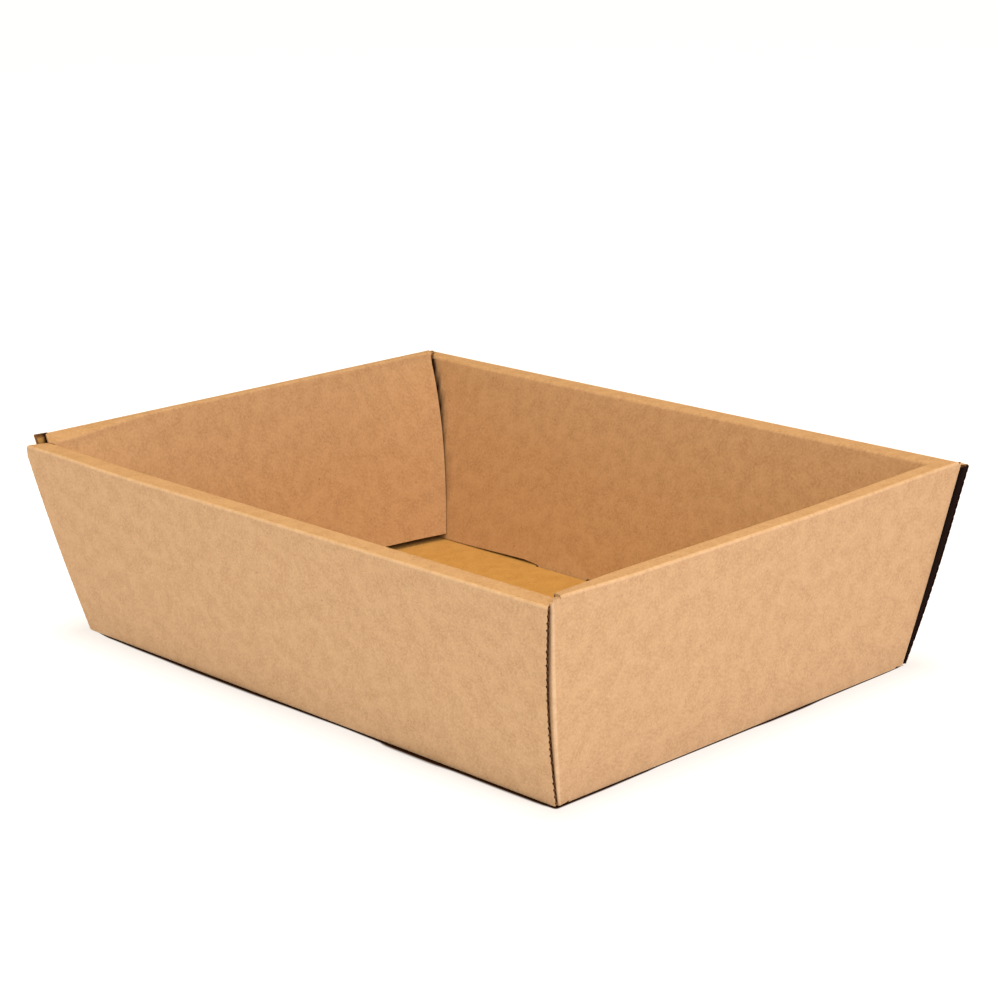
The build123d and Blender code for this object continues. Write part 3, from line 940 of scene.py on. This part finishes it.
# ---------------------------------------------------------------- mesh
KINDS = ["outside", "inside", "cut", "medium", "pocket"]
mesh = bpy.data.meshes.new("tray_board")
mesh.from_pydata([tuple(v) for v in verts], [], faces)
uvl = mesh.uv_layers.new(name="blank")
k = 0
for fi, f in enumerate(faces):
    kind = face_kind[fi]
    for uv in face_uv[fi]:
        off = 0.0 if kind == "outside" else (2.0 if kind == "inside" else 4.0)
        uvl.data[k].uv = (uv[0] * 0.001 + off, uv[1] * 0.001 + off * 0.37)
        k += 1
at = mesh.attributes.new("crease", "FLOAT", "POINT")
at.data.foreach_set("value", [float(c) for c in crease_of])
mesh.attributes.new("dark", "FLOAT", "POINT").data.foreach_set("value", [float(d) for d in painted_shade_of])
mesh.polygons.foreach_set("material_index", [min(KINDS.index(kd), 3) for kd in face_kind])
mesh.polygons.foreach_set("use_smooth", [True] * len(faces))
mesh.update()
import numpy as np
nf = len(mesh.polygons)
fn = np.zeros(nf * 3)
mesh.polygons.foreach_get("normal", fn)
fn = fn.reshape(-1, 3)
edge_faces = {}
for p in mesh.polygons:
    for ek in p.edge_keys:
        edge_faces.setdefault(ek, []).append(p.index)
bad = [e for e, f in edge_faces.items() if len(f) != 2]
print("board vertices", len(verts), "faces", nf, "open or crowded edges", len(bad))
limit = math.cos(math.radians(33))
sharp = []
for e in mesh.edges:
    fs = edge_faces[tuple(sorted(e.vertices))] if tuple(sorted(e.vertices)) in edge_faces else edge_faces[e.key]
    sharp.append(len(fs) != 2 or float(fn[fs[0]] @ fn[fs[1]]) < limit)
mesh.attributes.new("sharp_edge", "BOOLEAN", "EDGE").data.foreach_set("value", sharp)
tris = sum(len(f) - 2 for f in faces)
print("triangles", tris)

tray = bpy.data.objects.new("tray_board", mesh)
bpy.context.scene.collection.objects.link(tray)

# =====================================================================================
# Materials
# =====================================================================================


def new_material(name):
    m = bpy.data.materials.new(name)
    m.use_nodes = True
    nt = m.node_tree
    nt.nodes.clear()
    out = nt.nodes.new("ShaderNodeOutputMaterial")
    b = nt.nodes.new("ShaderNodeBsdfPrincipled")
    nt.links.new(b.outputs[0], out.inputs["Surface"])
    return m, nt, b


def node(nt, kind, **props):
    n = nt.nodes.new(kind)
    for k, v in props.items():
        setattr(n, k, v)
    return n


def mapping(nt, source, rotate, scale):
    mp = node(nt, "ShaderNodeMapping")
    mp.inputs["Rotation"].default_value = (0, 0, rotate)
    mp.inputs["Scale"].default_value = scale
    nt.links.new(source, mp.inputs["Vector"])
    return mp.outputs[0]


def noise(nt, vec, scale, detail=2.0, rough=0.5, lac=2.0):
    t = node(nt, "ShaderNodeTexNoise", noise_dimensions="3D")
    t.inputs["Scale"].default_value = scale
    t.inputs["Detail"].default_value = detail
    t.inputs["Roughness"].default_value = rough
    t.inputs["Lacunarity"].default_value = lac
    nt.links.new(vec, t.inputs["Vector"])
    return t.outputs["Fac"]


def ramp(nt, fac, lo, hi, out_lo=0.0, out_hi=1.0, smooth_step=True):
    m = node(nt, "ShaderNodeMapRange", interpolation_type="SMOOTHSTEP" if smooth_step else "LINEAR")
    m.inputs["From Min"].default_value = lo
    m.inputs["From Max"].default_value = hi
    m.inputs["To Min"].default_value = out_lo
    m.inputs["To Max"].default_value = out_hi
    nt.links.new(fac, m.inputs["Value"])
    return m.outputs[0]


def math_node(nt, op, a, b=None, clamp=False):
    m = node(nt, "ShaderNodeMath", operation=op, use_clamp=clamp)
    for k, v in enumerate((a, b)):
        if v is None:
            continue
        if isinstance(v, (int, float)):
            m.inputs[k].default_value = v
        else:
            nt.links.new(v, m.inputs[k])
    return m.outputs[0]


def mix(nt, fac, a, b, blend="MIX"):
    m = node(nt, "ShaderNodeMix", data_type="RGBA", blend_type=blend)
    for sock, v in ((m.inputs[0], fac), (m.inputs[6], a), (m.inputs[7], b)):
        if isinstance(v, (int, float)):
            sock.default_value = v
        elif isinstance(v, tuple):
            sock.default_value = v + (1.0,)
        else:
            nt.links.new(v, sock)
    return m.outputs[2]


def kraft(name, base, light, dark, pale, use_uv=True, rough=0.82, crease_on=True, seed=0.0, spec=0.28):
    m, nt, b = new_material(name)
    if use_uv:
        uv = node(nt, "ShaderNodeUVMap", uv_map="blank").outputs[0]
    else:
        uv = node(nt, "ShaderNodeTexCoord").outputs["Object"]
    # cloudy formation of the sheet
    cloud = noise(nt, mapping(nt, uv, 0.3 + seed, (1, 1, 1)), 130.0, 4.0, 0.62)
    fine = noise(nt, mapping(nt, uv, 1.1 + seed, (1, 1, 1)), 800.0, 3.0, 0.65)
    grain = noise(nt, mapping(nt, uv, 2.0 + seed, (1, 1, 1)), 2400.0, 2.0, 0.6)
    # fibres in several directions, most of them along the paper machine's run
    f1 = noise(nt, mapping(nt, uv, 0.15, (420, 2600, 1)), 1.0, 2.0, 0.55)
    f2_ = noise(nt, mapping(nt, uv, 0.85, (520, 2500, 1)), 1.0, 2.0, 0.55)
    f3 = noise(nt, mapping(nt, uv, -0.65, (520, 2500, 1)), 1.0, 2.0, 0.55)
    f4 = noise(nt, mapping(nt, uv, 1.55, (560, 2300, 1)), 1.0, 2.0, 0.55)
    fib_l = math_node(nt, "MAXIMUM", ramp(nt, f1, 0.60, 0.76), ramp(nt, f2_, 0.62, 0.78))
    fib_d = math_node(nt, "MAXIMUM", ramp(nt, f3, 0.61, 0.77), ramp(nt, f4, 0.63, 0.79))
    specks = ramp(nt, noise(nt, mapping(nt, uv, 0.5, (1, 1, 1)), 520.0, 1.0, 0.4), 0.735, 0.80)
    col = mix(nt, ramp(nt, cloud, 0.32, 0.68, 0.0, 1.0), dark, light)
    col = mix(nt, 0.30, col, base)
    col = mix(nt, ramp(nt, fine, 0.32, 0.68, 0.0, 0.55), col, mix(nt, 0.5, light, pale))
    col = mix(nt, ramp(nt, grain, 0.35, 0.65, 0.30, 0.0), col, dark)
    col = mix(nt, math_node(nt, "MULTIPLY", fib_l, 0.42), col, pale)
    col = mix(nt, math_node(nt, "MULTIPLY", fib_d, 0.50), col, dark)
    col = mix(nt, math_node(nt, "MULTIPLY", specks, 0.45), col, tuple(c * 0.42 for c in dark))
    # a pale line on the creases, partly the stretched liner and partly a painted highlight
    if crease_on:
        dist = node(nt, "ShaderNodeAttribute", attribute_name="crease").outputs["Fac"]
        breakup = ramp(nt, noise(nt, mapping(nt, uv, 0.0, (300, 300, 1)), 1.0, 3.0, 0.6), 0.25, 0.7, 0.45, 1.0)
        line = math_node(nt, "MULTIPLY", ramp(nt, dist, 0.20, 0.72, 1.0, 0.0), breakup)
        col = mix(nt, math_node(nt, "MULTIPLY", line, 0.55), col, pale)
    # painted light and shade: above 0 the sheet is painted dark as shade between the layers; below 0 the inner side is
    # painted as pale as the outer, as painted light
    painted_light_and_shade = node(nt, "ShaderNodeAttribute", attribute_name="dark").outputs["Fac"]
    col = mix(nt, ramp(nt, painted_light_and_shade, -1.0, 0.0, 1.0, 0.0, False), col, (0.502, 0.302, 0.186))
    col = mix(nt, ramp(nt, painted_light_and_shade, 0.0, 0.9, 0.0, 1.0, False), col, (0.052, 0.013, 0.003))
    col = mix(nt, ramp(nt, painted_light_and_shade, 0.85, 1.0, 0.0, 1.0, False), col, (0.008, 0.001, 0.001))
    nt.links.new(col, b.inputs["Base Color"])
    r = math_node(nt, "ADD", ramp(nt, fine, 0.3, 0.7, -0.06, 0.06), rough)
    nt.links.new(r, b.inputs["Roughness"])
    b.inputs["Specular IOR Level"].default_value = spec
    b.inputs["IOR"].default_value = 1.5
    # fibres and flutes as relief
    h = math_node(nt, "ADD", math_node(nt, "MULTIPLY", fib_l, 0.5), math_node(nt, "MULTIPLY", fine, 0.9))
    h = math_node(nt, "ADD", h, math_node(nt, "MULTIPLY", cloud, 1.1))
    h = math_node(nt, "ADD", h, math_node(nt, "MULTIPLY", grain, 0.35))
    if use_uv:
        sep = node(nt, "ShaderNodeSeparateXYZ")
        nt.links.new(uv, sep.inputs[0])
        wav = math_node(nt, "SINE", math_node(nt, "MULTIPLY", sep.outputs["Y"], 2 * math.pi / (FLUTE * 0.001)))
        h = math_node(nt, "ADD", h, math_node(nt, "MULTIPLY", wav, 0.22))
    bump = node(nt, "ShaderNodeBump")
    bump.inputs["Strength"].default_value = 0.55
    bump.inputs["Distance"].default_value = 0.00006
    nt.links.new(h, bump.inputs["Height"])
    nt.links.new(bump.outputs[0], b.inputs["Normal"])
    return m


OUT_BASE = (0.540, 0.323, 0.167)
OUT_LIGHT = (0.603, 0.374, 0.202)
OUT_DARK = (0.454, 0.258, 0.125)
OUT_PALE = (0.801, 0.573, 0.366)
IN_BASE = (0.557, 0.305, 0.082)
IN_LIGHT = (0.599, 0.342, 0.104)
IN_DARK = (0.474, 0.242, 0.057)
IN_PALE = (0.734, 0.484, 0.205)

mats = [
    kraft("kraft_outer_liner", OUT_BASE, OUT_LIGHT, OUT_DARK, OUT_PALE),
    kraft("kraft_inner_liner", IN_BASE, IN_LIGHT, IN_DARK, IN_PALE, seed=0.7),
    kraft("kraft_cut_edge", (0.52, 0.33, 0.18), (0.60, 0.40, 0.23), (0.38, 0.22, 0.11), (0.74, 0.53, 0.33), use_uv=False, rough=0.92, crease_on=False, seed=1.3, spec=0.12),
    # the fluting's own darker brown, made darker still as painted shade for its raw edges and open flutes
    kraft("kraft_medium", (0.26, 0.130, 0.052), (0.33, 0.17, 0.075), (0.17, 0.08, 0.030), (0.45, 0.27, 0.14), use_uv=False, rough=0.95, crease_on=False, seed=2.1, spec=0.05),
]
for mt in mats:
    mesh.materials.append(mt)

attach(tray, "root")
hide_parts("folded_tray")

# =====================================================================================
# Floor, light and camera
# =====================================================================================
# A white sweep that glows a little, so that the tray's shadow on it stays faint; near the tray its glow is turned down
# as a painted shadow. It is one mesh of rings round the tray's foot, with a thin dark line painted where the bent edge
# meets the floor as a painted contact shadow.


def contact_shadow_width(side, q):
    """Width in mm of the painted contact shadow under a bottom edge, q along that edge."""
    if side == "front":
        keys = [(-153, 0.0), (-148, 0.2), (-139, 1.6), (-108, 2.4), (-70, 3.1), (-35, 3.1), (0, 2.2), (30, 1.6),
                (50, 2.0), (60, 3.6), (85, 3.8), (98, 2.9), (125, 3.0), (146, 2.8), (153.5, 1.9)]
    elif side == "right":
        keys = [(-109.2, 1.9), (-104, 1.9), (-85, 2.0), (-60, 1.5), (-50, 0.9), (-26, 1.0), (5, 1.2), (18, 1.9),
                (38, 2.0), (55, 1.1), (95, 0.8), (106, 0.4), (109.5, 0.0)]
    else:
        keys = [(-160, 0.2), (-60, 1.6), (20, 1.0), (160, 0.3)]
    for (q0, w0), (q1, w1) in zip(keys, keys[1:]):
        if q <= q1:
            return w0 + (w1 - w0) * smooth((q - q0) / (q1 - q0))
    return 0.0


foot_ring = []                 # point, outward direction, width of the dark line
fx, fy = BASE_X - 0.7, BASE_Y - 0.7
for side, (ax, ay), (bx, by), (ox, oy) in (
        ("front", (-fx, -fy), (fx, -fy), (0, -1)), ("right", (fx, -fy), (fx, fy), (1, 0)),
        ("back", (fx, fy), (-fx, fy), (0, 1)), ("left", (-fx, fy), (-fx, -fy), (-1, 0))):
    steps = int(math.hypot(bx - ax, by - ay) / 5.0)
    for k in range(steps):
        g = k / steps
        qx, qy = ax + (bx - ax) * g, ay + (by - ay) * g
        foot_ring.append(((qx, qy), (ox, oy), contact_shadow_width(side, qx if oy else qy)))
    near = 1.9 if side == "front" else 0.0
    foot_ring.append(((bx, by), (ox, oy), near))
    # round the corner
    for k in range(1, 5):
        ang = math.atan2(oy, ox) + math.pi / 2 * k / 5
        foot_ring.append(((bx, by), (math.cos(ang), math.sin(ang)), near))
n_ring = len(foot_ring)
floor_v, floor_contact, floor_glow, floor_f = [], [], [], []
rings = [("in", -10.0, 1.0, 0.0), ("edge", 0.0, 1.0, 0.0), ("line", 0.55, 1.0, 0.0), ("line", 1.15, 0.0, 0.0),
         ("out", 8.0, 0.0, 0.25), ("out", 16.0, 0.0, 0.55), ("out", 26.0, 0.0, 0.85), ("out", 40.0, 0.0, 1.0),
         ("out", 90.0, 0.0, 1.0), ("out", 400.0, 0.0, 1.0), ("far", 6000.0, 0.0, 1.0)]
for kind, dist, contact, glow in rings:
    for (qx, qy), (ox, oy), width in foot_ring:
        if kind == "in":
            x, y = qx * (1 + dist / fx), qy * (1 + dist / fy)
        else:
            d = dist * (width + 0.02) if kind == "line" else (dist if kind != "edge" else 0.0)
            x, y = qx + ox * d, qy + oy * d
        floor_v.append((x * 0.001, y * 0.001, 0.0))
        floor_contact.append(contact * min(1.0, width / 0.4) if kind == "line" else contact)
        floor_glow.append(glow)
for r in range(len(rings) - 1):
    for k in range(n_ring):
        a, b = r * n_ring + k, r * n_ring + (k + 1) % n_ring
        floor_f.append((a, b, b + n_ring, a + n_ring))
floor_f.append(tuple(range(n_ring)))
fm = bpy.data.meshes.new("floor")
fm.from_pydata(floor_v, [], floor_f)
fm.attributes.new("contact", "FLOAT", "POINT").data.foreach_set("value", floor_contact)
fm.attributes.new("glow", "FLOAT", "POINT").data.foreach_set("value", floor_glow)
fm.update()
floor = bpy.data.objects.new("floor", fm)
bpy.context.scene.collection.objects.link(floor)
fmat, fnt, fb = new_material("floor_white")
touch = node(fnt, "ShaderNodeAttribute", attribute_name="contact").outputs["Fac"]
glow = node(fnt, "ShaderNodeAttribute", attribute_name="glow").outputs["Fac"]
# near-black where the contact attribute is set: a painted contact shadow
fnt.links.new(mix(fnt, touch, (0.34, 0.335, 0.34), (0.040, 0.014, 0.004)), fb.inputs["Base Color"])
fb.inputs["Roughness"].default_value = 0.9
fb.inputs["Specular IOR Level"].default_value = 0.0
fb.inputs["Emission Color"].default_value = (1.0, 1.0, 1.0, 1)
# no glow in the painted contact shadow, and less glow close to the tray, as painted shadow
open_floor = ramp(fnt, touch, 0.0, 1.0, 1.0, 0.0)
fnt.links.new(math_node(fnt, "MULTIPLY", open_floor, ramp(fnt, glow, 0.0, 1.0, 0.68, 0.92, False)), fb.inputs["Emission Strength"])
fm.materials.append(fmat)
floor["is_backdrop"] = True

world = bpy.data.worlds.new("studio")
bpy.context.scene.world = world
world.use_nodes = True
wn = world.node_tree
wn.nodes.clear()
wo = wn.nodes.new("ShaderNodeOutputWorld")
bg = wn.nodes.new("ShaderNodeBackground")
# pale round the sides, warmer and dimmer overhead
wsep = node(wn, "ShaderNodeSeparateXYZ")
wn.links.new(node(wn, "ShaderNodeTexCoord").outputs["Generated"], wsep.inputs[0])
overhead = ramp(wn, wsep.outputs["Z"], 0.09, 0.64)
wn.links.new(mix(wn, overhead, (0.74, 0.76, 0.80), (0.60, 0.38, 0.07)), bg.inputs["Color"])
bg.inputs["Strength"].default_value = 1.0
wn.links.new(bg.outputs[0], wo.inputs[0])


def area(name, loc, target, sx, sy, power, color=(1, 1, 1)):
    ld = bpy.data.lights.new(name, "AREA")
    ld.shape = "RECTANGLE"
    ld.size, ld.size_y = sx, sy
    ld.energy = power
    ld.color = color
    o = bpy.data.objects.new(name, ld)
    o.location = loc
    d = Vector(target) - Vector(loc)
    o.rotation_euler = d.to_track_quat("-Z", "Y").to_euler()
    bpy.context.scene.collection.objects.link(o)
    o.visible_camera = False
    return o


area("key_right", (1.75, -0.55, 0.277), (0, 0, 0.05), 0.5, 0.05, 1.4, (0.64, 0.61, 1.0))
area("fill_right", (1.2, -0.15, 0.85), (0, 0, 0.03), 0.7, 0.7, 7.05, (1.0, 0.936, 0.933))
area("fill_front", (0.15, -1.3, 1.0), (0, 0, 0.03), 0.8, 0.8, 4.4, (0.98, 1.0, 0.94))
area("top_soft", (0.0, 0.0, 1.6), (0, 0, 0.03), 0.8, 0.8, 9.75, (1.0, 0.952, 0.783))

cam_data = bpy.data.cameras.new("camera")
cam_data.sensor_fit = "VERTICAL"
cam_data.sensor_width = 36.0
cam_data.sensor_height = 36.0
cam_data.lens = 2567.02 / 1000.0 * 36.0
cam_data.clip_start = 0.05
cam_data.clip_end = 50
cam = bpy.data.objects.new("camera", cam_data)
right = Vector((0.6939, 0.7197, -0.0209)).normalized()
back = Vector((0.6951, -0.662, 0.2803)).normalized()
up = back.cross(right).normalized()
right = up.cross(back).normalized()
rot = Matrix((right, up, back)).transposed().to_4x4()
cam.matrix_world = Matrix.Translation((0.8056, -0.7573, 0.3927)) @ rot
bpy.context.scene.collection.objects.link(cam)
bpy.context.scene.camera = cam
bpy.context.scene.view_settings.view_transform = "Standard"
bpy.context.scene.view_settings.look = "None"

low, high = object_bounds()
